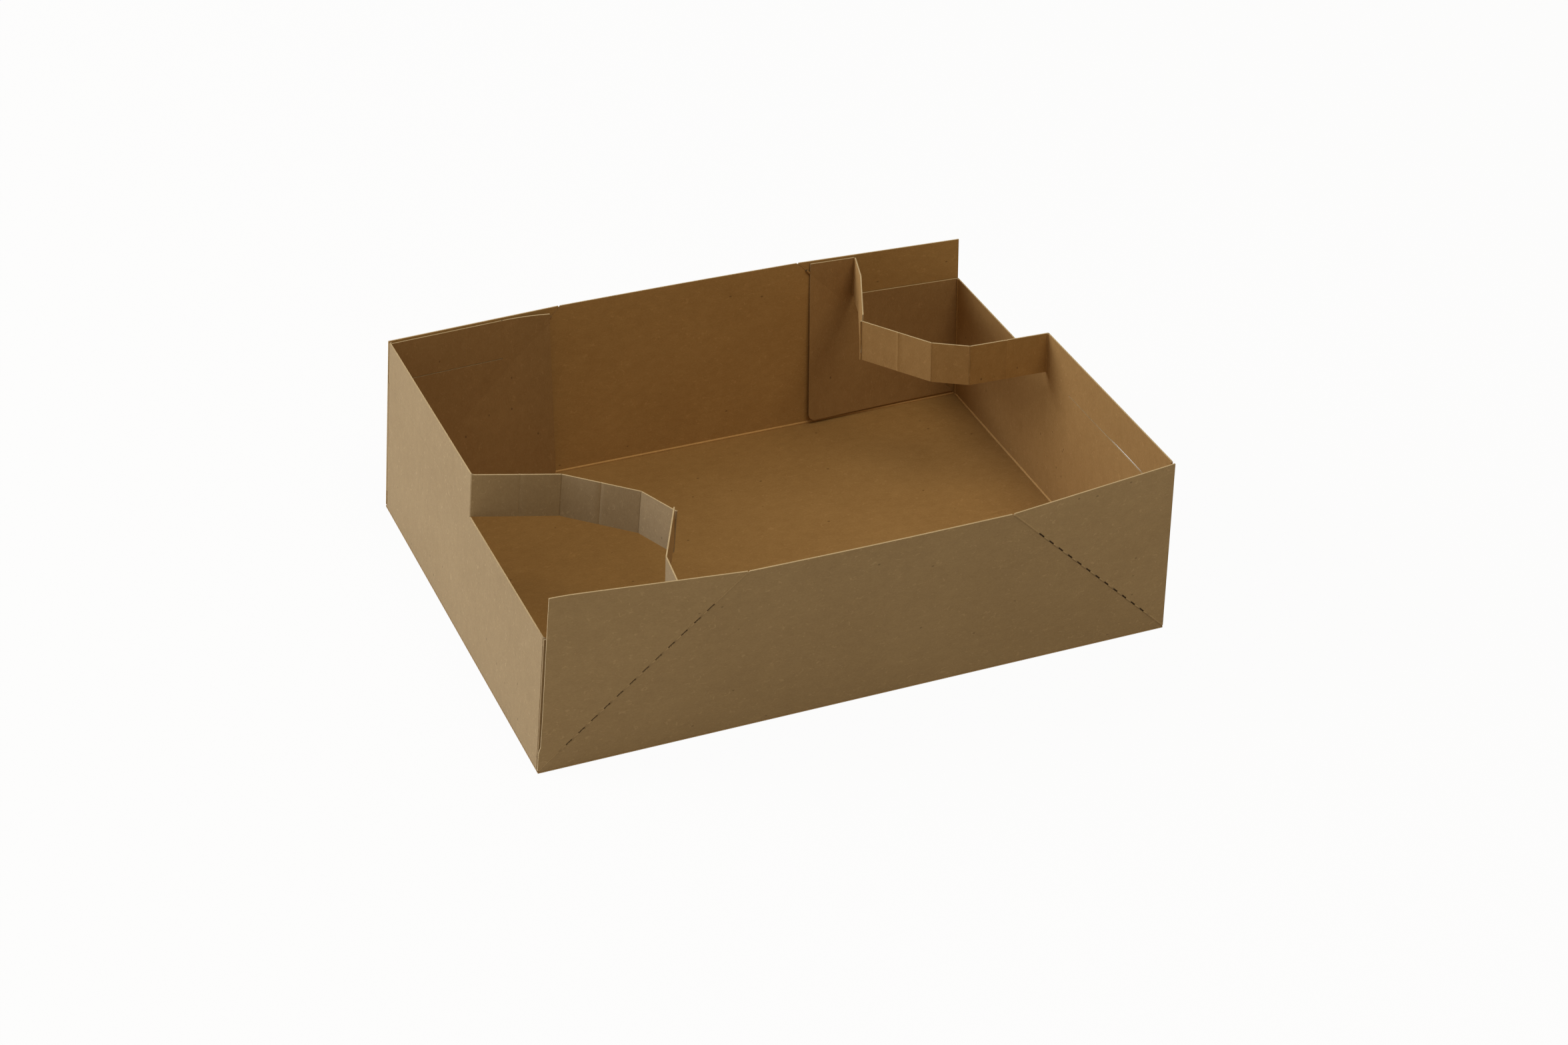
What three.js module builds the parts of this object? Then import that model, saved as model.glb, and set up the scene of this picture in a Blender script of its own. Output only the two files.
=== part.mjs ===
import * as THREE from 'three';

// Kraft board pop-up tray that carries cups in its corners.
// Millimetres, +Z up. Origin at the middle of the underside of the base.
// X runs along the long walls (left is -X), Y from the front (-) to the back (+).

// Sizes of the whole tray
const LENGTH = 250;
const WIDTH = 180;
const WALL_HEIGHT = 75;
const BOARD = 0.5;

// Clearance between neighbouring pieces, and the glue film in the corners
const GAP = 0.3;
const GLUE_FILM = 0.15;
const GLUE_GAP = 0.1;
const GLUE_INSET = 8;

// How far the open walls lean, in degrees
const SHORT_LEAN = 3;
const FRONT_LEAN = 7;
const BACK_LEAN = 3;

// Corner flaps: each ends a little short of the top of the diagonal crease
const FLAP_SHORT = 5.2;
const FLAP_DROP = 0.8;
const FLAP_RELIEF = 1.6;
const FLAP_RADIUS = 3;
const FLAP_FOOT_CUT = 7;

// Cup straps: a band cut free along the top of the short wall and its flap.
// The cuts leave a tab in the middle of the wall, and end short of the diagonal crease.
const BAND_DEPTH = 18;
const TAB_WIDTH = 18.7;
const STRAP_ROOT_CLEAR = 6.2;
const STRAP_END_PANEL = 17;
const STRAP_END_GAP = 0.7;

// Headings of a popped strap's wall panels, in degrees from square to the short wall.
// They turn together until the last stretch and the flap's half are this nearly straight.
// The flap's half bends at a crease of its own, one pitch from its root.
const POP_FRONT_LEFT = { headings: [-13.5, -13.5, -37, -37], straightness: 0.94, flapBend: 20 };
const POP_BACK_RIGHT = { headings: [-5, -5, -32], straightness: 0.89, flapBend: 7 };

const rad = THREE.MathUtils.degToRad;
const BASE_TOP = BOARD + GAP;
const PANEL = WALL_HEIGHT - BASE_TOP;
const FLAP_WIDTH = PANEL - FLAP_SHORT;
const FLAP_BACK = GLUE_GAP + GLUE_FILM + GLUE_GAP;
const FLAP_FACE = FLAP_BACK + BOARD;
const SHORT_HALF = WIDTH / 2 - BOARD - FLAP_FACE - GAP;
const BAND_FOOT = PANEL - BAND_DEPTH;
const STRAP_FLAP_LENGTH = BAND_FOOT - STRAP_ROOT_CLEAR;
const STRAP_WALL_LENGTH = SHORT_HALF - TAB_WIDTH / 2;

// Distances of the strap's root, creases and end along the short wall
const STRAP_PITCH = (STRAP_WALL_LENGTH - 2 * STRAP_END_PANEL) / 3;
const STATIONS = [0, 1, 2, 3].map((i) => STRAP_END_PANEL + i * STRAP_PITCH);
STATIONS.unshift(0);
STATIONS.push(STRAP_WALL_LENGTH);

function board(color) {
  return new THREE.MeshStandardMaterial({ color, roughness: 0.85, metalness: 0 });
}

function extrude(points, depth) {
  const shape = new THREE.Shape(points.map(([u, v]) => new THREE.Vector2(u, v)));
  return new THREE.ExtrudeGeometry(shape, { depth, bevelEnabled: false });
}

// Outline in X and Z, thickness from y = 0 towards -Y
function sheetXZ(points, depth) {
  const geometry = extrude(points, depth);
  geometry.rotateX(Math.PI / 2);
  return geometry;
}

// Outline in Y and Z, thickness from x = 0 towards -X
function sheetYZ(points, depth) {
  const geometry = extrude(points, depth);
  const basis = new THREE.Matrix4().makeBasis(
    new THREE.Vector3(0, 1, 0),
    new THREE.Vector3(0, 0, 1),
    new THREE.Vector3(1, 0, 0),
  );
  geometry.applyMatrix4(basis);
  geometry.translate(-depth, 0, 0);
  return geometry;
}

function addMesh(parent, name, geometry, color) {
  const mesh = new THREE.Mesh(geometry, board(color));
  mesh.name = name;
  parent.add(mesh);
  return mesh;
}

function addGroup(parent, x, y, z) {
  const group = new THREE.Group();
  group.position.set(x, y, z);
  parent.add(group);
  return group;
}

// Where the lines a-b and c-d cross
function cross(a, b, c, d) {
  const ux = b[0] - a[0];
  const uy = b[1] - a[1];
  const vx = d[0] - c[0];
  const vy = d[1] - c[1];
  const t = ((c[0] - a[0]) * vy - (c[1] - a[1]) * vx) / (ux * vy - uy * vx);
  return [a[0] + ux * t, a[1] + uy * t];
}

// Line a-b moved sideways to its left by a distance
function moveLeft(a, b, distance) {
  const size = Math.hypot(b[0] - a[0], b[1] - a[1]);
  const nx = (-(b[1] - a[1]) / size) * distance;
  const ny = ((b[0] - a[0]) / size) * distance;
  return [[a[0] + nx, a[1] + ny], [b[0] + nx, b[1] + ny]];
}

const OUTSIDE = 0xa89371;
const INSIDE = 0x8a6a3c;
const GLUE = 0xb9a06e;

const tray = new THREE.Group();

// Base panel
const base = addMesh(tray, 'base_panel', new THREE.BoxGeometry(LENGTH, WIDTH, BOARD), INSIDE);
base.position.z = BOARD / 2;

// One corner of a long wall: the triangle above the diagonal crease, the glued half of
// the flap behind it, and the flap's half of the cup strap.
// side is 1 where the corner is at -X of its half, and -1 where it is at +X.
function buildCorner(half, corner, side, wallLean) {
  const turn = Math.atan(Math.sin(rad(wallLean)));
  const stretch = Math.hypot(1, Math.sin(rad(wallLean)));
  const plane = addGroup(half, (-side * LENGTH) / 2, -WIDTH / 2 + BOARD, BASE_TOP);
  plane.rotation.z = -side * turn;
  const flip = (points) => points.map(([p, z]) => [side * p, z]);

  const foot = [0, 0];
  const edgeTop = [PANEL * Math.sin(rad(SHORT_LEAN)), PANEL * Math.cos(rad(SHORT_LEAN))];
  const diagonalTop = [PANEL * stretch, PANEL * Math.cos(rad(wallLean))];
  const crease = moveLeft(foot, diagonalTop, GAP / 2);
  addMesh(plane, `${corner}_corner_triangle`, sheetXZ(flip([
    cross(foot, edgeTop, ...crease),
    cross(edgeTop, diagonalTop, ...crease),
    edgeTop,
  ]), BOARD), OUTSIDE);

  const slope = Math.tan(rad(SHORT_LEAN));
  const lean = (z) => z * slope;
  const edge = (z) => [lean(z), z];
  const top = Math.min(edgeTop[1], diagonalTop[1]) - FLAP_DROP;
  const bandFoot = BAND_FOOT * Math.cos(rad(SHORT_LEAN));
  const root = STRAP_FLAP_LENGTH;
  const flap = addMesh(plane, `${corner}_flap_glued_half`, sheetXZ(flip([
    edge(FLAP_FOOT_CUT),
    cross([0, FLAP_FOOT_CUT], [1, FLAP_FOOT_CUT], ...crease),
    cross([FLAP_WIDTH, 0], [FLAP_WIDTH, top], ...crease),
    [FLAP_WIDTH, top],
    [root + GAP / 2, top],
    [root + GAP / 2, bandFoot],
    edge(bandFoot),
  ]), BOARD), INSIDE);
  flap.position.y = FLAP_FACE;

  const glue = addMesh(plane, `${corner}_glue_patch`, sheetXZ(flip([
    [GLUE_INSET, 2 * GLUE_INSET],
    [root - GLUE_INSET, root],
    [root - GLUE_INSET, bandFoot - GLUE_INSET / 2],
    [GLUE_INSET, bandFoot - GLUE_INSET / 2],
  ]), GLUE_FILM), GLUE);
  glue.position.y = GLUE_GAP + GLUE_FILM;
  return { name: corner, plane, root, top, bandFoot, lean };
}

// The flap's half of a strap: two panels, hinged on the flap face where the cut ends.
// Its end is cut to the lean of the corner, where it meets the wall's half.
function buildFlapStrap(corner, side, angle, bend) {
  const hinge = addGroup(corner.plane, side * corner.root, FLAP_FACE, 0);
  hinge.rotation.z = -side * rad(angle);
  const foot = corner.bandFoot + GAP;
  const panel = (parent, index, near, far) => addMesh(
    parent,
    `${corner.name}_strap_flap_panel_${index}`,
    sheetXZ([
      [-side * near, foot],
      [-side * far(foot), foot],
      [-side * far(corner.top), corner.top],
      [-side * near, corner.top],
    ], BOARD),
    INSIDE,
  );
  panel(hinge, 1, GAP / 2, () => STRAP_PITCH - GAP / 2);
  const crease = addGroup(hinge, -side * STRAP_PITCH, -BOARD / 2, 0);
  crease.rotation.z = -side * rad(bend);
  const reach = (z) => corner.root - STRAP_PITCH - corner.lean(z) - STRAP_END_GAP;
  panel(crease, 2, GAP / 2, reach).position.y = BOARD / 2;
}

// The wall's half of a strap: five panels between creases, hinged where the cut ends.
// way is -1 where the strap runs to the front of its half and 1 where it runs to the back.
function buildWallStrap(wall, name, way, turns) {
  let parent = wall;
  let origin = 0;
  let shift = 0;
  STATIONS.slice(0, -1).forEach((from, index) => {
    const to = STATIONS[index + 1];
    if (turns[index] !== null) {
      const x = index === 0 ? 0 : shift - BOARD / 2;
      const y = way * (index === 0 ? SHORT_HALF - STRAP_WALL_LENGTH : from - origin);
      parent = addGroup(parent, x, y, 0);
      parent.rotation.z = -way * rad(turns[index]);
      origin = from;
      shift = index === 0 ? 0 : BOARD / 2;
    }
    const near = from - origin + GAP / 2;
    const far = to - origin - (index === 4 ? STRAP_END_GAP : GAP / 2);
    const panel = addMesh(parent, `${name}_strap_wall_panel_${index + 1}`, sheetYZ([
      [way * near, BAND_FOOT + GAP],
      [way * far, BAND_FOOT + GAP],
      [way * far, PANEL],
      [way * near, PANEL],
    ], BOARD), INSIDE);
    panel.position.x = shift;
  });
}

// Bend angles that carry a popped strap from its root on the short wall to its root on
// the flap. Plan view at the middle of the band, in the half's own X and Y.
function closeStrap(pop, corner) {
  const middle = (BAND_FOOT + PANEL) / 2;
  const rootPoint = new THREE.Vector3(corner.root, FLAP_FACE, 0);
  corner.plane.updateMatrix();
  rootPoint.applyMatrix4(corner.plane.matrix);
  const wallPart = STRAP_WALL_LENGTH - STATIONS[pop.headings.length];
  const farPart = corner.root - corner.lean(middle) - STRAP_PITCH;
  const flapAhead = STRAP_PITCH + farPart * Math.cos(rad(pop.flapBend));
  const flapAside = farPart * Math.sin(rad(pop.flapBend));
  const flapPart = Math.hypot(flapAhead, flapAside);

  const walk = (swing) => {
    const point = new THREE.Vector2(
      -LENGTH / 2 + BOARD + middle * Math.sin(rad(SHORT_LEAN)),
      -SHORT_HALF + STRAP_WALL_LENGTH,
    );
    pop.headings.forEach((heading, index) => {
      const size = STATIONS[index + 1] - STATIONS[index];
      point.x += size * Math.cos(rad(heading + swing));
      point.y += size * Math.sin(rad(heading + swing));
    });
    return point;
  };
  const spanOf = (point) => Math.hypot(rootPoint.x - point.x, rootPoint.y - point.y);
  let low = -40;
  let high = 40;
  for (let i = 0; i < 60; i += 1) {
    const swing = (low + high) / 2;
    if (spanOf(walk(swing)) > pop.straightness * (wallPart + flapPart)) {
      high = swing;
    } else {
      low = swing;
    }
  }

  const point = walk(low);
  const span = spanOf(point);
  const dx = rootPoint.x - point.x;
  const dy = rootPoint.y - point.y;
  const reach = (wallPart ** 2 - flapPart ** 2 + span ** 2) / (2 * span);
  const rise = Math.sqrt(wallPart ** 2 - reach ** 2);
  const tip = new THREE.Vector2(
    point.x + (dx * reach - dy * rise) / span,
    point.y + (dy * reach + dx * rise) / span,
  );
  const last = THREE.MathUtils.radToDeg(Math.atan2(tip.y - point.y, tip.x - point.x));
  const turns = STATIONS.slice(0, -1).fill(null);
  let before = -90;
  [...pop.headings.map((heading) => heading + low), last].forEach((heading, index) => {
    if (Math.abs(heading - before) > 1e-6) {
      turns[index] = heading - before;
    }
    before = heading;
  });
  const chord = Math.atan2(tip.y - rootPoint.y, tip.x - rootPoint.x);
  const flapHeading = chord + Math.atan2(flapAside, flapAhead);
  const flat = Math.PI + corner.plane.rotation.z;
  return { turns, flapTurn: THREE.MathUtils.radToDeg(flat - flapHeading) };
}

// One half of the tray: a long wall at -Y, a short wall at -X, and two corners.
// The corner at -X holds a popped strap, the corner at +X a strap still in its wall.
function buildHalf(names, lean, pop) {
  const half = addGroup(tray, 0, 0, 0);
  const longWall = addGroup(half, 0, -WIDTH / 2 + BOARD, BASE_TOP);
  longWall.rotation.x = rad(lean);
  const offset = (GAP / 2) * Math.SQRT2;
  const x0 = LENGTH / 2;
  addMesh(longWall, `${names.long}_wall_panel`, sheetXZ([
    [-x0 + offset, 0],
    [x0 - offset, 0],
    [x0 - offset - PANEL, PANEL],
    [-x0 + offset + PANEL, PANEL],
  ], BOARD), OUTSIDE);

  [[names.popped, 1], [names.flat, -1]].forEach(([corner, side]) => {
    const free = FLAP_WIDTH / Math.hypot(1, Math.sin(rad(lean)));
    const steps = 6;
    const points = [[FLAP_RELIEF + offset, FLAP_RELIEF]];
    for (let i = 0; i <= steps; i += 1) {
      const turn = (i / steps) * (Math.PI / 2);
      points.push([
        free - FLAP_RADIUS + FLAP_RADIUS * Math.sin(turn),
        FLAP_RELIEF + FLAP_RADIUS - FLAP_RADIUS * Math.cos(turn),
      ]);
    }
    points.push([free, free - offset]);
    const outline = points.map(([p, z]) => [side * (p - x0), z]);
    const flap = addMesh(longWall, `${corner}_flap_free_half`, sheetXZ(outline, BOARD), INSIDE);
    flap.position.y = FLAP_FACE;
  });

  const popped = buildCorner(half, names.popped, 1, lean);
  const { turns, flapTurn } = closeStrap(pop, popped);
  buildFlapStrap(popped, 1, flapTurn, pop.flapBend);
  const flat = buildCorner(half, names.flat, -1, lean);
  buildFlapStrap(flat, -1, 0, 0);

  const shortWall = addGroup(half, -LENGTH / 2 + BOARD, 0, BASE_TOP);
  shortWall.rotation.y = rad(SHORT_LEAN);
  const tab = SHORT_HALF - STRAP_WALL_LENGTH - GAP / 2;
  addMesh(shortWall, `${names.short}_wall_panel`, sheetYZ([
    [-SHORT_HALF, 0],
    [SHORT_HALF, 0],
    [SHORT_HALF, BAND_FOOT],
    [tab, BAND_FOOT],
    [tab, PANEL],
    [-tab, PANEL],
    [-tab, BAND_FOOT],
    [-SHORT_HALF, BAND_FOOT],
  ], BOARD), OUTSIDE);
  buildWallStrap(shortWall, names.popped, -1, turns);
  buildWallStrap(shortWall, names.opposite, 1, [0, null, 0, null, 0]);
  return half;
}

buildHalf(
  { long: 'front', short: 'left', popped: 'front_left', flat: 'front_right', opposite: 'back_left' },
  FRONT_LEAN,
  POP_FRONT_LEFT,
);
const backHalf = buildHalf(
  { long: 'back', short: 'right', popped: 'back_right', flat: 'back_left', opposite: 'front_right' },
  BACK_LEAN,
  POP_BACK_RIGHT,
);
backHalf.rotation.z = Math.PI;

export default tray;
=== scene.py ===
import math

import bmesh
import bpy
from mathutils import Matrix, Vector


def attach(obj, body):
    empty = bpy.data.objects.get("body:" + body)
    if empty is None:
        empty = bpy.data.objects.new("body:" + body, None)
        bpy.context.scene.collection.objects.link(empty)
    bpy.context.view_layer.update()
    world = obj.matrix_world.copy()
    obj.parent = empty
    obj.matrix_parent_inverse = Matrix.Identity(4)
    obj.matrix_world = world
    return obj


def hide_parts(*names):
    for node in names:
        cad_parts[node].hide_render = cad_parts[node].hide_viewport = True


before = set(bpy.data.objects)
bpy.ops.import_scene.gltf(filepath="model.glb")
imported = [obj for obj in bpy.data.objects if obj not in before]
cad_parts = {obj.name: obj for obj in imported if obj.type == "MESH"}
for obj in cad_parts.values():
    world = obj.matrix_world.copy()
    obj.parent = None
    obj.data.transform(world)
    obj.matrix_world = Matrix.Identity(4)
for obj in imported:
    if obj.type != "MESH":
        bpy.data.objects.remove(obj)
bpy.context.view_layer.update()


# Stage: a pale floor under soft light from the left, and the camera where the photograph was taken.
# Floor and world are white to the camera alone, so that the board is lit at a plain level.
class Shade:
    """A socket in a node tree. Sums on it add Math nodes, and node() adds any other node."""

    def __init__(self, tree, socket=None):
        self.tree = tree
        self.socket = socket

    def node(self, kind, settings=(), sockets=(), out=0):
        made = self.tree.nodes.new("ShaderNode" + kind)
        for key, value in dict(settings).items():
            setattr(made, key, value)
        for key, value in dict(sockets).items():
            if isinstance(value, Shade):
                self.tree.links.new(value.socket, made.inputs[key])
            else:
                made.inputs[key].default_value = value
        return Shade(self.tree, None if out is None else made.outputs[out])

    def also(self, out):
        return Shade(self.tree, self.socket.node.outputs[out])

    def math(self, operation, *terms):
        return self.node("Math", {"operation": operation}, dict(enumerate(terms)))

    def __add__(self, other):
        return self.math("ADD", self, other)

    def __sub__(self, other):
        return self.math("SUBTRACT", self, other)

    def __rsub__(self, other):
        return self.math("SUBTRACT", other, self)

    def __mul__(self, other):
        return self.math("MULTIPLY", self, other)

    def __gt__(self, other):
        return self.math("GREATER_THAN", self, other)

    __radd__ = __add__
    __rmul__ = __mul__


def seen_by_camera(shade):
    """1 for rays that come from the camera, straight or by gloss or glass."""
    ray = shade.node("LightPath", out="Is Camera Ray")
    gloss = ray.math("MAXIMUM", ray, ray.also("Is Glossy Ray"))
    return ray.math("MAXIMUM", gloss, ray.also("Is Transmission Ray"))


floor_paint = bpy.data.materials.new("pale_floor")
floor_paint.use_nodes = True
floor_paint.node_tree.nodes.clear()
shade = Shade(floor_paint.node_tree)
paper = shade.node("BsdfDiffuse", sockets={"Color": (0.64, 0.58, 0.48, 1)})
glow = shade.node("Emission", sockets={"Color": (1, 1, 1, 1), "Strength": 1.0})
mixed = shade.node("MixShader", sockets={0: 0.96 * seen_by_camera(shade), 1: paper, 2: glow})
shade.node("OutputMaterial", sockets={"Surface": mixed}, out=None)

FLOOR_HALF, FLOOR_DROP = 4, 0.0003
floor_mesh = bpy.data.meshes.new("floor")
floor_mesh.from_pydata(
    [(x * FLOOR_HALF, y * FLOOR_HALF, -FLOOR_DROP) for x, y in ((-1, -1), (1, -1), (1, 1), (-1, 1))],
    [], [(0, 1, 2, 3)],
)
floor_mesh.materials.append(floor_paint)
floor = bpy.data.objects.new("floor", floor_mesh)
bpy.context.scene.collection.objects.link(floor)

studio = bpy.data.worlds.new("studio")
studio.use_nodes = True
studio.node_tree.nodes.clear()
shade = Shade(studio.node_tree)
fill = shade.node("Background", sockets={"Color": (1.0, 0.88, 0.67, 1), "Strength": 0.27})
glow = shade.node("Background", sockets={"Color": (1, 1, 1, 1), "Strength": 1.0})
mixed = shade.node("MixShader", sockets={0: seen_by_camera(shade), 1: fill, 2: glow})
shade.node("OutputWorld", sockets={"Surface": mixed}, out=None)
bpy.context.scene.world = studio
bpy.context.scene.view_settings.view_transform = "Standard"


def soft_lamp(name, place, size, watts, colour):
    light = bpy.data.lights.new(name, "AREA")
    light.color = colour
    light.shape = "DISK"
    light.size = size
    light.energy = watts
    lamp = bpy.data.objects.new(name, light)
    lamp.location = place
    lamp.rotation_euler = (-Vector(place)).to_track_quat("-Z", "Y").to_euler()
    bpy.context.scene.collection.objects.link(lamp)


soft_lamp("window", (-1.4, 0.62, 0.68), 1.0, 20.5, (0.88, 0.93, 1.0))
soft_lamp("ceiling", (0.2, -0.65, 1.55), 0.9, 9.5, (1.0, 0.9, 0.7))

lens = bpy.data.cameras.new("photo_camera")
lens.lens = 69.69
lens.sensor_width = 36
lens.clip_start = 0.01
camera = bpy.data.objects.new("photo_camera", lens)
camera.location = (-0.39633, -0.87978, 0.66955)
camera.rotation_euler = [math.radians(turn) for turn in (56.0455, -2.0392, -23.2487)]
bpy.context.scene.collection.objects.link(camera)
bpy.context.scene.camera = camera


# Base panel: the middle of the one die-cut sheet of kraft board, 0.5 mm thick.
# All else folds up from its four creases. Its upper side is the browner, rougher back of the board.
MM = 0.001
LENGTH = 250.0
WIDTH = 180.0
BOARD = 0.5
BASE_TOP = 0.8


def kraft(name, light, dark, grain, fleck=0.55, streak=0.3):
    """Unbleached board: cloudy pulp, fibres that lie along the grain, dark flecks and pale hairs."""
    material = bpy.data.materials.new(name)
    material.use_nodes = True
    material.node_tree.nodes.clear()
    shade = Shade(material.node_tree)
    place = shade.node("TexCoord", out="Object")
    lay = shade.node("Mapping", sockets={"Vector": place, "Scale": grain})
    noise = {"Detail": 3.0, "Roughness": 0.6}
    cloud = shade.node("TexNoise", sockets={"Vector": place, "Scale": 30.0, **noise})
    pulp = shade.node("TexNoise", sockets={"Vector": lay, "Scale": 330.0, **noise})
    fibre = shade.node("TexNoise", sockets={"Vector": lay, "Scale": 1700.0, **noise})
    hair = shade.node("TexNoise", sockets={"Vector": lay, "Scale": 700.0, "Detail": 1.0, "Distortion": 1.2})
    dot = shade.node("TexVoronoi", sockets={"Vector": lay, "Scale": 210.0})
    pick = shade.node("SeparateColor", sockets={"Color": dot.also("Color")})
    ramp = {"interpolation_type": "SMOOTHSTEP"}
    speck = shade.node("MapRange", ramp, {"Value": dot, "From Min": 0.1, "From Max": 0.05}) * (pick > 0.72)
    pale = shade.node("MapRange", ramp, {"Value": hair, "From Min": 0.63, "From Max": 0.74})
    rub = shade.node("Attribute", {"attribute_name": "rub"}, out="Fac")

    depth = 0.5 + 0.7 * (cloud - 0.5) + 0.9 * (pulp - 0.5) + 1.0 * (fibre - 0.5)
    blend = {"data_type": "RGBA"}
    colour = shade.node("Mix", blend, {0: depth, 6: (*dark, 1), 7: (*light, 1)}, out=2)
    shadow = tuple(0.45 * c for c in dark)
    bright = tuple(min(1.0, 1.35 * c + 0.02) for c in light)
    colour = shade.node("Mix", blend, {0: fleck * speck, 6: colour, 7: (*shadow, 1)}, out=2)
    colour = shade.node("Mix", blend, {0: streak * pale, 6: colour, 7: (*bright, 1)}, out=2)
    wear = 0.4 * rub * (0.55 + 0.9 * (pulp - 0.25))
    colour = shade.node("Mix", blend, {0: wear, 6: colour, 7: (*bright, 1)}, out=2)

    tooth = fibre + 0.8 * pulp + 0.3 * pale
    bump = shade.node("Bump", sockets={"Strength": 0.35, "Distance": 0.00012, "Height": tooth})
    paint = shade.node("BsdfPrincipled", sockets={
        "Base Color": colour,
        "Roughness": 0.72 + 0.25 * pulp,
        "Specular IOR Level": 0.22,
        "Normal": bump,
    })
    shade.node("OutputMaterial", sockets={"Surface": paint}, out=None)
    return material


FACE_LIGHT, FACE_DARK = (0.41, 0.297, 0.168), (0.32, 0.223, 0.12)
# Painted light: the back of the board is one sheet, but the wall insides are painted lighter than the base, a lit copy
# of one board
LIT_BACK_LIGHT, LIT_BACK_DARK = (0.43, 0.25, 0.09), (0.33, 0.18, 0.058)
BASE_LIGHT, BASE_DARK = (0.38, 0.22, 0.077), (0.28, 0.152, 0.047)
# Painted shade: the flaps' inner side is the walls' board painted darker, a shaded copy of one board
SHADED_FLAP_LIGHT, SHADED_FLAP_DARK = (0.37, 0.218, 0.088), (0.285, 0.157, 0.057)
ALONG_X, UPRIGHT, NO_GRAIN = (0.65, 1, 1), (1, 1, 0.65), (1, 1, 1)
face_long = kraft("kraft_face_long", FACE_LIGHT, FACE_DARK, ALONG_X)
lit_back_long = kraft("kraft_back_long", LIT_BACK_LIGHT, LIT_BACK_DARK, ALONG_X, fleck=0.7, streak=0.22)
back_base = kraft("kraft_back_base", BASE_LIGHT, BASE_DARK, ALONG_X, fleck=0.7, streak=0.22)
face_short = kraft("kraft_face_short", FACE_LIGHT, FACE_DARK, UPRIGHT)
lit_back_short = kraft("kraft_back_short", LIT_BACK_LIGHT, LIT_BACK_DARK, UPRIGHT, fleck=0.7, streak=0.22)
shaded_back_flap = kraft("kraft_back_flap", SHADED_FLAP_LIGHT, SHADED_FLAP_DARK, UPRIGHT, fleck=0.7, streak=0.22)
cut_edge = kraft("kraft_cut_edge", (0.56, 0.43, 0.255), (0.4, 0.29, 0.15), NO_GRAIN, fleck=0.3)
RUBBED = 0.8


def face_outwards(mesh):
    turned = bmesh.new()
    turned.from_mesh(mesh)
    bmesh.ops.recalc_face_normals(turned, faces=turned.faces[:])
    turned.to_mesh(mesh)
    turned.free()


def board(name, place, outline, paints, cut=(), slices=(), bow=None):
    """One panel. Outline is (u, v) on the inner face, and w runs inwards, from -BOARD at the outer face to 0.
    Sides listed in cut are raw pale edges, and the others are folds. bow(u, v) gives w of the inner face."""
    sheet = bmesh.new()
    rub = sheet.verts.layers.float.new("rub")
    face = sheet.faces.new([sheet.verts.new((u, 0, v)) for u, v in outline])
    bmesh.ops.inset_region(sheet, faces=[face], thickness=RUBBED, use_even_offset=True, use_boundary=True)
    for vert in sheet.verts:
        vert[rub] = 1.0 if vert.is_boundary else 0.0
    for axis, at in slices:
        whole = sheet.verts[:] + sheet.edges[:] + sheet.faces[:]
        across = Vector((1, 0, 0)) if axis == "u" else Vector((0, 0, 1))
        bmesh.ops.bisect_plane(sheet, geom=whole, dist=1e-5, plane_co=across * at, plane_no=across)
    sheet.verts.index_update()
    count = len(sheet.verts)
    rise = [bow(v.co.x, v.co.z) if bow else 0.0 for v in sheet.verts]
    points = [Vector((v.co.x, w, v.co.z)) for v, w in zip(sheet.verts, rise)]
    points += [Vector((v.co.x, w - BOARD, v.co.z)) for v, w in zip(sheet.verts, rise)]
    worn = [v[rub] for v in sheet.verts] * 2

    raw = [(Vector(outline[k]), Vector(outline[(k + 1) % len(outline)])) for k in cut]
    faces, paint = [], []
    for f in sheet.faces:
        ring = [v.index for v in f.verts]
        faces += [ring, [i + count for i in reversed(ring)]]
        paint += [1, 0]
    for edge in sheet.edges:
        if edge.is_boundary:
            a, b = edge.verts[0].index, edge.verts[1].index
            middle = (Vector((points[a].x, points[a].z)) + Vector((points[b].x, points[b].z))) / 2
            near = [abs((q - p).normalized().cross(middle - p)) < 0.02 for p, q in raw]
            faces.append([a, b, b + count, a + count])
            paint.append(2 if any(near) else 0)
    sheet.free()

    mesh = bpy.data.meshes.new(name)
    mesh.from_pydata([place @ p * MM for p in points], [], faces)
    mesh.polygons.foreach_set("material_index", paint)
    mesh.attributes.new("rub", "FLOAT", "POINT").data.foreach_set("value", worn)
    for material in (*paints, cut_edge):
        mesh.materials.append(material)
    face_outwards(mesh)
    mesh.polygons.foreach_set("use_smooth", [True] * len(mesh.polygons))
    mesh.set_sharp_from_angle(angle=math.radians(28))
    piece = bpy.data.objects.new(name, mesh)
    bpy.context.scene.collection.objects.link(piece)
    return piece


# Local (u, w, v) to a panel that lies flat, with its inner face upwards
LYING = Matrix(((1, 0, 0, 0), (0, 0, 1, 0), (0, 1, 0, BOARD), (0, 0, 0, 1)))
base = board(
    "base_board", LYING,
    [(-LENGTH / 2, -WIDTH / 2), (LENGTH / 2, -WIDTH / 2), (LENGTH / 2, WIDTH / 2), (-LENGTH / 2, WIDTH / 2)],
    (face_long, back_base),
)
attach(base, "base")
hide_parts("base_panel")


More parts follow.
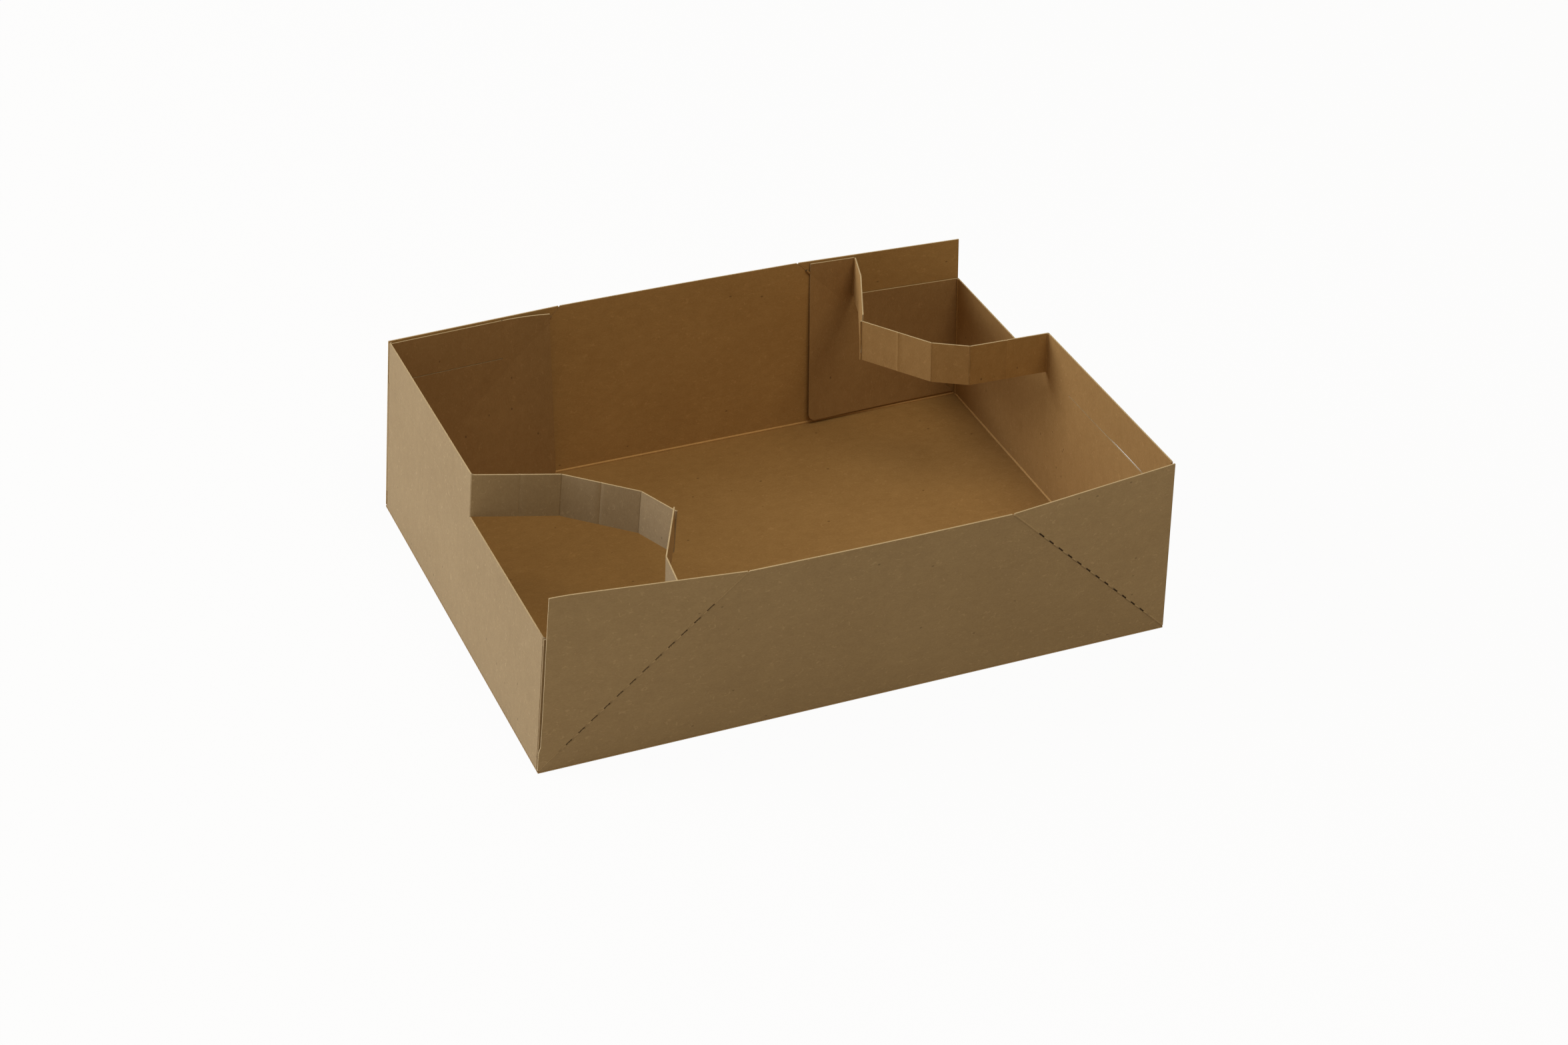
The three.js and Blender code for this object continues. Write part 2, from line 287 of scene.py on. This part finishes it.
# Long walls: the trapezoid between the two diagonal creases of the front and of the back wall.
# Same board, folded up from the base and leaning out a little. The top edge is raw.
PANEL = 75.0 - BASE_TOP
LEAN = {"front": 7.0, "back": 3.0}
HALF = {"front": Matrix.Identity(4), "back": Matrix.Rotation(math.pi, 4, "Z")}
SLIT = 0.29
WALL_BOW, BOW_REACH = 0.45, 40
long_wall = {}
for half, lean in LEAN.items():
    foot = Matrix.Translation((0, -WIDTH / 2 + BOARD, BASE_TOP))
    long_wall[half] = HALF[half] @ foot @ Matrix.Rotation(math.radians(lean), 4, "X")
    reach = LENGTH / 2 - SLIT * math.sqrt(2)

    def swell(u, v):
        side = max(0.0, reach - abs(u) - v)
        return -WALL_BOW * (v / PANEL) * math.tanh(side / BOW_REACH)

    wall = board(
        f"{half}_wall_board", long_wall[half],
        [(-reach, 0), (reach, 0), (reach - PANEL, PANEL), (PANEL - reach, PANEL)],
        (face_long, lit_back_long), cut=[2],
        slices=[("u", -120 + 10 * i) for i in range(25)] + [("v", 9.3 * i) for i in range(1, 8)],
        bow=swell,
    )
    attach(wall, f"{half}_wall")
    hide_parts(f"{half}_wall_panel")


# Creases of the base: the scored board rolls round at the foot of each wall.
# The roll shows as a low ridge inside and as a soft edge outside. Inside it is painted lighter, a painted highlight
# along the ridge.
ridge_tree = bpy.data.node_groups.new("rolled_crease", "GeometryNodeTree")
ridge_tree.interface.new_socket("Lines", in_out="INPUT", socket_type="NodeSocketGeometry")
ridge_radius = ridge_tree.interface.new_socket("Radius", in_out="INPUT", socket_type="NodeSocketFloat")
ridge_paint = ridge_tree.interface.new_socket("Board", in_out="INPUT", socket_type="NodeSocketMaterial")
ridge_tree.interface.new_socket("Crease", in_out="OUTPUT", socket_type="NodeSocketGeometry")


def geo(tree, kind, settings=(), sockets=()):
    """A geometry node with its settings, and the values or links of its sockets."""
    made = tree.nodes.new(kind)
    for key, value in dict(settings).items():
        setattr(made, key, value)
    for key, value in dict(sockets).items():
        if isinstance(value, bpy.types.NodeSocket):
            tree.links.new(value, made.inputs[key])
        else:
            made.inputs[key].default_value = value
    return made


given = geo(ridge_tree, "NodeGroupInput").outputs
path = geo(ridge_tree, "GeometryNodeMeshToCurve", sockets={"Mesh": given["Lines"]}).outputs[0]
path = geo(ridge_tree, "GeometryNodeResampleCurve", {"mode": "LENGTH"}, {
    "Curve": path, "Length": 3 * MM,
}).outputs[0]
ring = geo(ridge_tree, "GeometryNodeCurvePrimitiveCircle", sockets={
    "Resolution": 10, "Radius": given["Radius"],
}).outputs[0]
roll = geo(ridge_tree, "GeometryNodeCurveToMesh", sockets={
    "Curve": path, "Profile Curve": ring, "Fill Caps": True,
}).outputs[0]
roll = geo(ridge_tree, "GeometryNodeRealizeInstances", sockets={"Geometry": roll}).outputs[0]
roll = geo(ridge_tree, "GeometryNodeSetMaterial", sockets={
    "Geometry": roll, "Material": given["Board"],
}).outputs[0]
geo(ridge_tree, "NodeGroupOutput", sockets={"Crease": roll})


def grown(name, lines, tree, values, paints):
    """Runs a tree on lines (start, end, outward) in mm and gives a plain mesh.
    The first of the paints is for its outward side, and the second for its inward side."""
    source = bpy.data.meshes.new(name)
    ends = [Vector(p) * MM for line in lines for p in line[:2]]
    source.from_pydata(ends, [(i, i + 1) for i in range(0, len(ends), 2)], [])
    piece = bpy.data.objects.new(name, source)
    bpy.context.scene.collection.objects.link(piece)
    modifier = piece.modifiers.new("fold", "NODES")
    modifier.node_group = tree
    for socket, value in values:
        modifier[socket.identifier] = value
    seen = bpy.context.evaluated_depsgraph_get()
    mesh = bpy.data.meshes.new_from_object(piece.evaluated_get(seen))
    piece.modifiers.remove(modifier)
    piece.data = mesh

    face_outwards(mesh)
    mesh.materials.clear()
    for material in paints:
        mesh.materials.append(material)
    for polygon in mesh.polygons:
        near = min(lines, key=lambda line: off_line(polygon.center / MM, *line[:2]))
        polygon.material_index = 0 if polygon.normal.dot(Vector(near[2])) > -0.3 else 1
        polygon.use_smooth = True
    return piece


def off_line(point, start, end):
    start, end = Vector(start), Vector(end)
    along = end - start
    share = min(1.0, max(0.0, (point - start).dot(along) / along.length_squared))
    return (point - start - along * share).length


def rolled(name, lines, radius, paints):
    """Rolled creases of one radius in mm along the lines."""
    values = [(ridge_radius, radius * MM), (ridge_paint, paints[0])]
    return grown(name, lines, ridge_tree, values, paints)


# Painted highlight: a lighter board for the inner side of the base creases, where the ridges catch light
crease_highlight_paint = kraft("kraft_crease_highlight", (0.62, 0.38, 0.15), (0.47, 0.27, 0.1), NO_GRAIN, fleck=0.2)
FOOT_RADIUS = 0.5
HALF_X = LENGTH / 2 - BOARD
HALF_Y = WIDTH / 2 - BOARD
foot_lines = []
for way in (-1, 1):
    out = Vector((0, way, -0.6))
    foot_lines.append(((-HALF_X, way * HALF_Y, BASE_TOP), (HALF_X, way * HALF_Y, BASE_TOP), out))
    out = Vector((way, 0, -0.6))
    foot_lines.append(((way * HALF_X, -HALF_Y, BASE_TOP), (way * HALF_X, HALF_Y, BASE_TOP), out))
feet = rolled("base_creases", foot_lines, FOOT_RADIUS, (face_long, crease_highlight_paint))
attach(feet, "base")


# Corner triangles: the two ends of each long wall, above the diagonal crease along which they fold.
# Most of the crease is perforated, with bridges of board between the cuts. Its foot and its top are only scored.
SHORT_LEAN = math.radians(3)
CORNERS = {
    "front_left": ("front", 1), "front_right": ("front", -1),
    "back_right": ("back", 1), "back_left": ("back", -1),
}
BRIDGES, BRIDGE_LENGTH, BRIDGE_RADIUS = 13, 3.3, 0.36
SCORE_RADIUS, CREASE_DEPTH = 0.38, 0.33
# Shares of the diagonal, from its foot
PERFORATED, TOP_SCORE, FOOT_SCORE = (0.06, 0.79), (0.84, 0.995), (0.004, 0.105)
# The outer edge of the front left triangle isn't glued down. Above its foot it stands off the corner and is set back.
EDGE_SLOPE = math.tan(SHORT_LEAN)
EDGE_LIFT, EDGE_INSET = {"front_left": 0.7}, {"front_left": 0.6}
EDGE_REACH, EDGE_FOOT, EDGE_FULL, EDGE_RAMP = 12, 8, 10.4, 10

bridge_tree = bpy.data.node_groups.new("perforated_crease", "GeometryNodeTree")
bridge_tree.interface.new_socket("Lines", in_out="INPUT", socket_type="NodeSocketGeometry")
bridge_count = bridge_tree.interface.new_socket("Bridges", in_out="INPUT", socket_type="NodeSocketInt")
bridge_length = bridge_tree.interface.new_socket("Length", in_out="INPUT", socket_type="NodeSocketFloat")
bridge_radius = bridge_tree.interface.new_socket("Radius", in_out="INPUT", socket_type="NodeSocketFloat")
bridge_paint = bridge_tree.interface.new_socket("Board", in_out="INPUT", socket_type="NodeSocketMaterial")
bridge_tree.interface.new_socket("Crease", in_out="OUTPUT", socket_type="NodeSocketGeometry")
given = geo(bridge_tree, "NodeGroupInput").outputs
path = geo(bridge_tree, "GeometryNodeMeshToCurve", sockets={"Mesh": given["Lines"]}).outputs[0]
path = geo(bridge_tree, "GeometryNodeResampleCurve", {"mode": "COUNT"}, {
    "Curve": path, "Count": given["Bridges"],
}).outputs[0]
along = geo(bridge_tree, "GeometryNodeInputTangent").outputs[0]
turn = geo(bridge_tree, "FunctionNodeAlignRotationToVector", {"axis": "Z"}, {"Vector": along}).outputs[0]
rod = geo(bridge_tree, "GeometryNodeMeshCylinder", sockets={
    "Vertices": 8, "Radius": given["Radius"], "Depth": given["Length"],
}).outputs[0]
rods = geo(bridge_tree, "GeometryNodeInstanceOnPoints", sockets={
    "Points": path, "Instance": rod, "Rotation": turn,
}).outputs[0]
rods = geo(bridge_tree, "GeometryNodeRealizeInstances", sockets={"Geometry": rods}).outputs[0]
rods = geo(bridge_tree, "GeometryNodeSetMaterial", sockets={
    "Geometry": rods, "Material": given["Board"],
}).outputs[0]
geo(bridge_tree, "NodeGroupOutput", sockets={"Crease": rods})


def meet(a, b, c, d):
    """Where the lines a-b and c-d cross."""
    a, b, c, d = Vector(a), Vector(b), Vector(c), Vector(d)
    share = (c - a).cross(d - c) / (b - a).cross(d - c)
    return tuple(a + (b - a) * share)


def beside(a, b, gap):
    """The line a-b moved to its left."""
    step = (Vector(b) - Vector(a)).normalized()
    left = Vector((-step.y, step.x)) * gap
    return tuple(Vector(a) + left), tuple(Vector(b) + left)


def on_diagonal(plane, side, crease_top, depth, shares):
    """The ends of a stretch of the diagonal, and which way is out."""
    ends = [plane @ Vector((side * crease_top[0] * s, -depth, crease_top[1] * s)) for s in shares]
    return (*ends, (plane.to_3x3() @ Vector((0, -1, 0))).normalized())


corner_plane, corner_top = {}, {}
for corner, (half, side) in CORNERS.items():
    lean = math.radians(LEAN[half])
    hinge = Matrix.Translation((-side * LENGTH / 2, -WIDTH / 2 + BOARD, BASE_TOP))
    plane = HALF[half] @ hinge @ Matrix.Rotation(-side * math.atan(math.sin(lean)), 4, "Z")
    corner_plane[corner] = plane
    foot = (0.0, 0.0)
    edge_top = (PANEL * math.sin(SHORT_LEAN), PANEL * math.cos(SHORT_LEAN))
    crease_top = (PANEL * math.hypot(1, math.sin(lean)), PANEL * math.cos(lean))
    corner_top[corner] = (edge_top, crease_top)
    diagonal = beside(foot, crease_top, SLIT)
    outline = [meet(foot, edge_top, *diagonal), meet(edge_top, crease_top, *diagonal), edge_top]
    if corner in EDGE_INSET:
        inset = EDGE_INSET[corner]
        outline[2:] = [
            (edge_top[0] + inset, edge_top[1]), (EDGE_FULL * EDGE_SLOPE + inset, EDGE_FULL),
            (EDGE_FOOT * EDGE_SLOPE, EDGE_FOOT),
        ]

    def off_corner(u, v):
        near = max(0.0, 1 - max(0.0, abs(u) - v * EDGE_SLOPE) / EDGE_REACH)
        rising = min(1.0, max(0.0, v - abs(u) - EDGE_FOOT) / EDGE_RAMP)
        return -EDGE_LIFT.get(corner, 0.0) * near * near * rising

    triangle = board(
        f"{corner}_triangle_board", plane, [(side * p, z) for p, z in outline],
        (face_long, lit_back_long), cut=list(range(1, len(outline))),
        slices=[("u", side * 2 * i) for i in range(1, 9)] + [("v", EDGE_FOOT + 5 * i) for i in range(4)],
        bow=off_corner,
    )
    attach(triangle, f"{corner}_corner")
    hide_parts(f"{corner}_corner_triangle")

    cuts, top_score, foot_score = (
        on_diagonal(plane, side, crease_top, CREASE_DEPTH, shares) for shares in (PERFORATED, TOP_SCORE, FOOT_SCORE)
    )
    values = [
        (bridge_count, BRIDGES), (bridge_length, BRIDGE_LENGTH * MM),
        (bridge_radius, BRIDGE_RADIUS * MM), (bridge_paint, face_long),
    ]
    bridges = grown(f"{corner}_bridges", [cuts], bridge_tree, values, (face_long, lit_back_long))
    score = rolled(f"{corner}_score", [top_score, foot_score], SCORE_RADIUS, (face_long, lit_back_long))
    for piece in (bridges, score):
        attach(piece, f"{corner}_corner")


# Short walls: folded up from the ends of the base and leaning in. Two cuts, one from each corner, free the
# straps along the top and leave a tab in the middle. A flat strap lies close to the tab, a pushed-in one hinges on it.
FLAP_FACE, CREASE_GAP = 0.85, 0.3
SHORT_HALF = WIDTH / 2 - BOARD - FLAP_FACE - CREASE_GAP
BAND_FOOT = PANEL - 18.0
TAB_HALF = 18.7 / 2
WALL_ROLL = 0.46
# Where the rolls run, as (inwards, past the wall's end, foot, top)
CORNER_ROLL, FOOT_ROLL = (0.1, 0.1, 0.5, BAND_FOOT), (0.15, 0.7, 0.1, 8.0)
SHORT = {"left": "front", "right": "back"}
SIDEWAYS = Matrix(((0, 1, 0, 0), (1, 0, 0, 0), (0, 0, 1, 0), (0, 0, 0, 1)))
short_wall = {}
for side_name, half in SHORT.items():
    foot = Matrix.Translation((-LENGTH / 2 + BOARD, 0, BASE_TOP))
    short_wall[side_name] = HALF[half] @ foot @ Matrix.Rotation(SHORT_LEAN, 4, "Y")
    tab, flat_tab = TAB_HALF - 0.1, TAB_HALF
    wall = board(
        f"{side_name}_wall_board", short_wall[side_name] @ SIDEWAYS,
        [
            (-SHORT_HALF, 0), (SHORT_HALF, 0), (SHORT_HALF, BAND_FOOT), (flat_tab, BAND_FOOT),
            (flat_tab, PANEL), (-tab, PANEL), (-tab, BAND_FOOT), (-SHORT_HALF, BAND_FOOT),
        ],
        (face_short, lit_back_short), cut=[2, 4, 6],
    )
    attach(wall, f"{side_name}_wall")
    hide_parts(f"{side_name}_wall_panel")

    lines = []
    for way in (-1, 1):
        out = short_wall[side_name].to_3x3() @ Vector((-1, way, 0))
        for inwards, past, *heights in (CORNER_ROLL, FOOT_ROLL):
            low, high = (short_wall[side_name] @ Vector((inwards, way * (SHORT_HALF + past), z)) for z in heights)
            lines.append((low, high, out))
    low, high = (short_wall[side_name] @ Vector((0, -TAB_HALF, z)) for z in (BAND_FOOT + 0.2, PANEL))
    lines.append((low, high, short_wall[side_name].to_3x3() @ Vector((-1, 0, 0))))
    rolls = rolled(f"{side_name}_wall_creases", lines, WALL_ROLL, (face_short, lit_back_short))
    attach(rolls, f"{side_name}_wall")


# Corner flaps: the ends of the short walls, folded round the corner and glued inside the triangles.
# The half below the diagonal is free, and stays with the long wall. The far lower corner is rounded.
FLAP_WIDTH = PANEL - 5.2
FLAP_FOOT, FREE_FOOT = 7, 1.6
FLAP_RADIUS, ARC_STEPS = 3, 8
STRAP_ROOT = BAND_FOOT - 6.2
PUSHED_IN = ("front_left", "back_right")
LIFT = {"front_left": 1.4, "front_right": 1.4, "back_right": 1.4, "back_left": 2.4}
# The far end of the back left flap bends away from the wall over its whole height
TIP_LIFT, TIP_STEP = {"back_left": 2.4}, 3
BEND_RADIUS, BEND_DEPTH, BEND_SHARES = 0.46, 0.52, (0.07, 0.95)
ROOT_RADIUS, FLUSH_RADIUS = 0.34, 0.24
glue_paint = kraft("dried_glue", (0.52, 0.42, 0.24), (0.4, 0.3, 0.15), NO_GRAIN, fleck=0.1, streak=0.1)
# Painted shade: a near-black board for the outward side of the flap's bend roll, where the perforation cuts look into
# a shaded gap
SHADE_LIGHT, SHADE_DARK = (0.1, 0.066, 0.034), (0.06, 0.038, 0.019)
painted_shade_behind_cuts = kraft("kraft_behind_cuts", SHADE_LIGHT, SHADE_DARK, NO_GRAIN, fleck=0.1, streak=0.1)
band_foot = BAND_FOOT * math.cos(SHORT_LEAN)
flap_top = {}
for corner, (half, side) in CORNERS.items():
    plane = corner_plane[corner] @ Matrix.Translation((0, FLAP_FACE, 0))
    edge_top, crease_top = corner_top[corner]
    top = min(edge_top[1], crease_top[1]) - 0.8
    flap_top[corner] = top
    diagonal = beside((0, 0), crease_top, 0.02)
    root_gap = 0.1 if corner in PUSHED_IN else 0.02
    outline = [
        (FLAP_FOOT * EDGE_SLOPE, FLAP_FOOT), meet((0, FLAP_FOOT), (1, FLAP_FOOT), *diagonal),
        meet((FLAP_WIDTH, 0), (FLAP_WIDTH, 9), *diagonal),
        (FLAP_WIDTH, top), (STRAP_ROOT + root_gap, top), (STRAP_ROOT + root_gap, band_foot),
        (band_foot * EDGE_SLOPE, band_foot),
    ]
    tip_slices = [("u", side * (STRAP_ROOT + TIP_STEP * i)) for i in range(1, 7)]

    def tipped(u, v):
        share = max(0.0, (abs(u) - STRAP_ROOT) / (FLAP_WIDTH - STRAP_ROOT))
        return TIP_LIFT.get(corner, 0.0) * share * share

    # The flaps' inner side is painted shade, darker than the wall they fold from
    glued = board(
        f"{corner}_glued_flap", plane, [(side * p, z) for p, z in outline],
        (face_short, shaded_back_flap), cut=[0, 2, 3, 5], slices=tip_slices, bow=tipped,
    )
    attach(glued, f"{corner}_corner")
    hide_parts(f"{corner}_flap_glued_half")

    free = FLAP_WIDTH / math.hypot(1, math.sin(math.radians(LEAN[half])))
    outline = [(FREE_FOOT + 0.03, FREE_FOOT)]
    for step in range(ARC_STEPS + 1):
        turn = step / ARC_STEPS * math.pi / 2
        along = free - FLAP_RADIUS + FLAP_RADIUS * math.sin(turn)
        outline.append((along, FREE_FOOT + FLAP_RADIUS - FLAP_RADIUS * math.cos(turn)))
    outline.append((free, free - 0.03))

    def lifted(u, v):
        free_part = max(0.0, abs(u) - v) / 60
        edge = min(1.0, 2 * free_part) * max(0.0, abs(u) / free - 0.4)
        return LIFT[corner] * (0.6 * free_part * free_part + 0.8 * edge) + tipped(u, v)

    loose_half = board(
        f"{corner}_free_flap", long_wall[half] @ Matrix.Translation((-side * LENGTH / 2, FLAP_FACE, 0)),
        [(side * p, z) for p, z in outline], (face_short, shaded_back_flap), cut=list(range(ARC_STEPS + 2)),
        slices=[(axis, way * 8 * i) for axis, way in (("u", side), ("v", 1)) for i in range(1, 9)] + tip_slices,
        bow=lifted,
    )
    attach(loose_half, f"{half}_wall")
    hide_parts(f"{corner}_flap_free_half")

    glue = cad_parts[f"{corner}_glue_patch"]
    glue.data.materials.clear()
    glue.data.materials.append(glue_paint)

    # The bend roll's outward side is painted shade, so that it shows dark through the perforation cuts
    line = on_diagonal(plane, side, crease_top, BEND_DEPTH, BEND_SHARES)
    bend = rolled(f"{corner}_flap_bend", [line], BEND_RADIUS, (painted_shade_behind_cuts, shaded_back_flap))
    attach(bend, f"{corner}_corner")

    root = corner_plane[corner] @ Matrix.Translation((side * STRAP_ROOT, FLAP_FACE, 0))
    out = (root.to_3x3() @ Vector((0, -1, 0))).normalized()
    depth, radius = (0.0, ROOT_RADIUS) if corner in PUSHED_IN else (BOARD / 2, FLUSH_RADIUS)
    low, high = (root @ Vector((0, -depth, z)) for z in (band_foot + 0.2, top))
    roll = rolled(f"{corner}_flap_crease", [(low, high, out)], radius, (face_short, lit_back_short))
    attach(roll, f"{corner}_corner")


# Cup straps, wall side: a band 18 mm deep, creased about every 15 mm, that pushes in from the short wall's top.
# The front left and the back right one are pushed in and bend at two creases. The other two lie flat.
STATIONS = [0, 17, 32, 47, 62, 79]
PANELS = len(STATIONS) - 1
SCORE_RISE, SCORE_REACH = 0.16, 0.5
# The lower edge of the front right strap bulges out a little, so that its cut stands open
BULGE, BULGE_START, BULGE_LENGTH, BULGE_HEIGHT = 0.42, 14, 65, 12
STRAPS = {
    "front_left": ("left", -1, {0: 75.164, 2: -23.5, 4: -26.624}),
    "back_left": ("left", 1, {0: 0, 2: 0, 4: 0}),
    "back_right": ("right", -1, {0: 83.287, 2: -27.0, 3: -21.636}),
    "front_right": ("right", 1, {0: 0, 2: 0, 4: 0}),
}
for corner, (side_name, way, bends) in STRAPS.items():
    joint = short_wall[side_name]
    folded, loose = bends[0] != 0, corner == "front_right"
    starts = sorted(bends)
    shift = 0.0
    for letter, first, last in zip("abc", starts, starts[1:] + [PANELS]):
        if first == 0:
            step = (0, way * TAB_HALF, 0)
        else:
            step = (shift - BOARD / 2, way * (STATIONS[first] - origin), 0)
            shift = BOARD / 2
        joint = joint @ Matrix.Translation(step) @ Matrix.Rotation(-way * math.radians(bends[first]), 4, "Z")
        origin = STATIONS[first]
        length = STATIONS[last] - origin
        folds = [STATIONS[i] - origin for i in range(first + 1, last)]

        def scored(u, v):
            score = sum(SCORE_RISE * max(0.0, 1 - abs(abs(u) - fold) / SCORE_REACH) for fold in folds)
            share = min(1.0, max(0.0, (origin + abs(u) - BULGE_START) / BULGE_LENGTH))
            swing = math.sin(math.pi * share) ** 2
            bulge = BULGE * swing * max(0.0, 1 - (v - BAND_FOOT) / BULGE_HEIGHT)
            return score * folded - (bulge if loose else 0.0)

        near = (0.08 if first == 0 else 0.2) if folded else -0.01
        far = length - (0.12 if last == PANELS else 0.2 if folded else 0.0)
        foot = BAND_FOOT + (0.3 if folded or loose else 0.06)
        outline = [(near, foot), (far, foot), (far, PANEL), (near, PANEL)]
        strip = board(
            f"{corner}_strap_{letter}", joint @ Matrix.Translation((shift, 0, 0)) @ SIDEWAYS,
            [(way * u, v) for u, v in outline], (face_short, lit_back_short), cut=[0, 2],
            slices=[("u", way * (fold + d)) for fold in folds for d in (-SCORE_REACH, 0, SCORE_REACH)]
            + [("u", way * 4.1 * i) for i in range(1, 8)] + [("v", BAND_FOOT + d) for d in (3, 6, 9, 12)],
            bow=scored,
        )
        body = f"{corner}_strap_wall_{letter}"
        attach(strip, body)
        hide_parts(*[f"{corner}_strap_wall_panel_{i + 1}" for i in range(first, last)])

        if last < PANELS and not folded:
            continue
        end = shift if last == PANELS else shift - BOARD / 2
        past, radius = (0.0, 0.4 if last == PANELS else 0.25) if folded else (0.25, 0.5)
        low, high = (joint @ Vector((end, way * (length + past), z)) for z in (BAND_FOOT + 0.4, PANEL - 0.05))
        out = joint.to_3x3() @ Vector((-1, 0, 0))
        fold = rolled(f"{corner}_strap_fold_{letter}", [(low, high, out)], radius, (face_short, lit_back_short))
        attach(fold, body)


# Cup straps, flap side: the same band where it runs on along the flap, hinged where its cut ends.
# It bends at one crease, and meets the wall side at the crease that makes the tray's corner while the strap is flat.
FLAP_CREASE, FLAP_FOLD_RADIUS = 15.0, 0.25
FLAP_TURN = {
    "front_left": (89.614, 20.0), "back_right": (102.89, 7.0),
    "front_right": (0.0, 0.0), "back_left": (0.0, 0.0),
}
for corner, (half, side) in CORNERS.items():
    turn, bend = (-side * math.radians(angle) for angle in FLAP_TURN[corner])
    root = corner_plane[corner] @ Matrix.Translation((side * STRAP_ROOT, FLAP_FACE, 0))
    root = root @ Matrix.Rotation(turn, 4, "Z")
    crease = root @ Matrix.Translation((-side * FLAP_CREASE, -BOARD / 2, 0)) @ Matrix.Rotation(bend, 4, "Z")
    low, top = band_foot + 0.3, flap_top[corner]
    start = 0.08 if turn else 0.02
    ends = [STRAP_ROOT - FLAP_CREASE - z * EDGE_SLOPE - 0.12 for z in (low, top)]
    halves = {
        "a": (root, [(start, low), (FLAP_CREASE - 0.06, low), (FLAP_CREASE - 0.06, top), (start, top)]),
        "b": (
            crease @ Matrix.Translation((0, BOARD / 2, 0)),
            [(0.06, low), (ends[0], low), (ends[1], top), (0.06, top)],
        ),
    }
    for number, (letter, (place, outline)) in enumerate(halves.items(), 1):
        # A strap lying flat on its flap has the flap's painted shade on its inner side
        strip = board(
            f"{corner}_strap_flap_{letter}", place, [(-side * u, v) for u, v in outline],
            (face_short, lit_back_short if turn else shaded_back_flap), cut=[0, 2],
        )
        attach(strip, f"{corner}_strap_flap_{letter}")
        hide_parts(f"{corner}_strap_flap_panel_{number}")

    line = [crease @ Vector((0, 0, z)) for z in (low + 0.1, top - 0.05)] + [root.to_3x3() @ Vector((0, -1, 0))]
    fold = rolled(f"{corner}_strap_flap_fold", [line], FLAP_FOLD_RADIUS, (face_short, lit_back_short))
    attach(fold, f"{corner}_strap_flap_a")
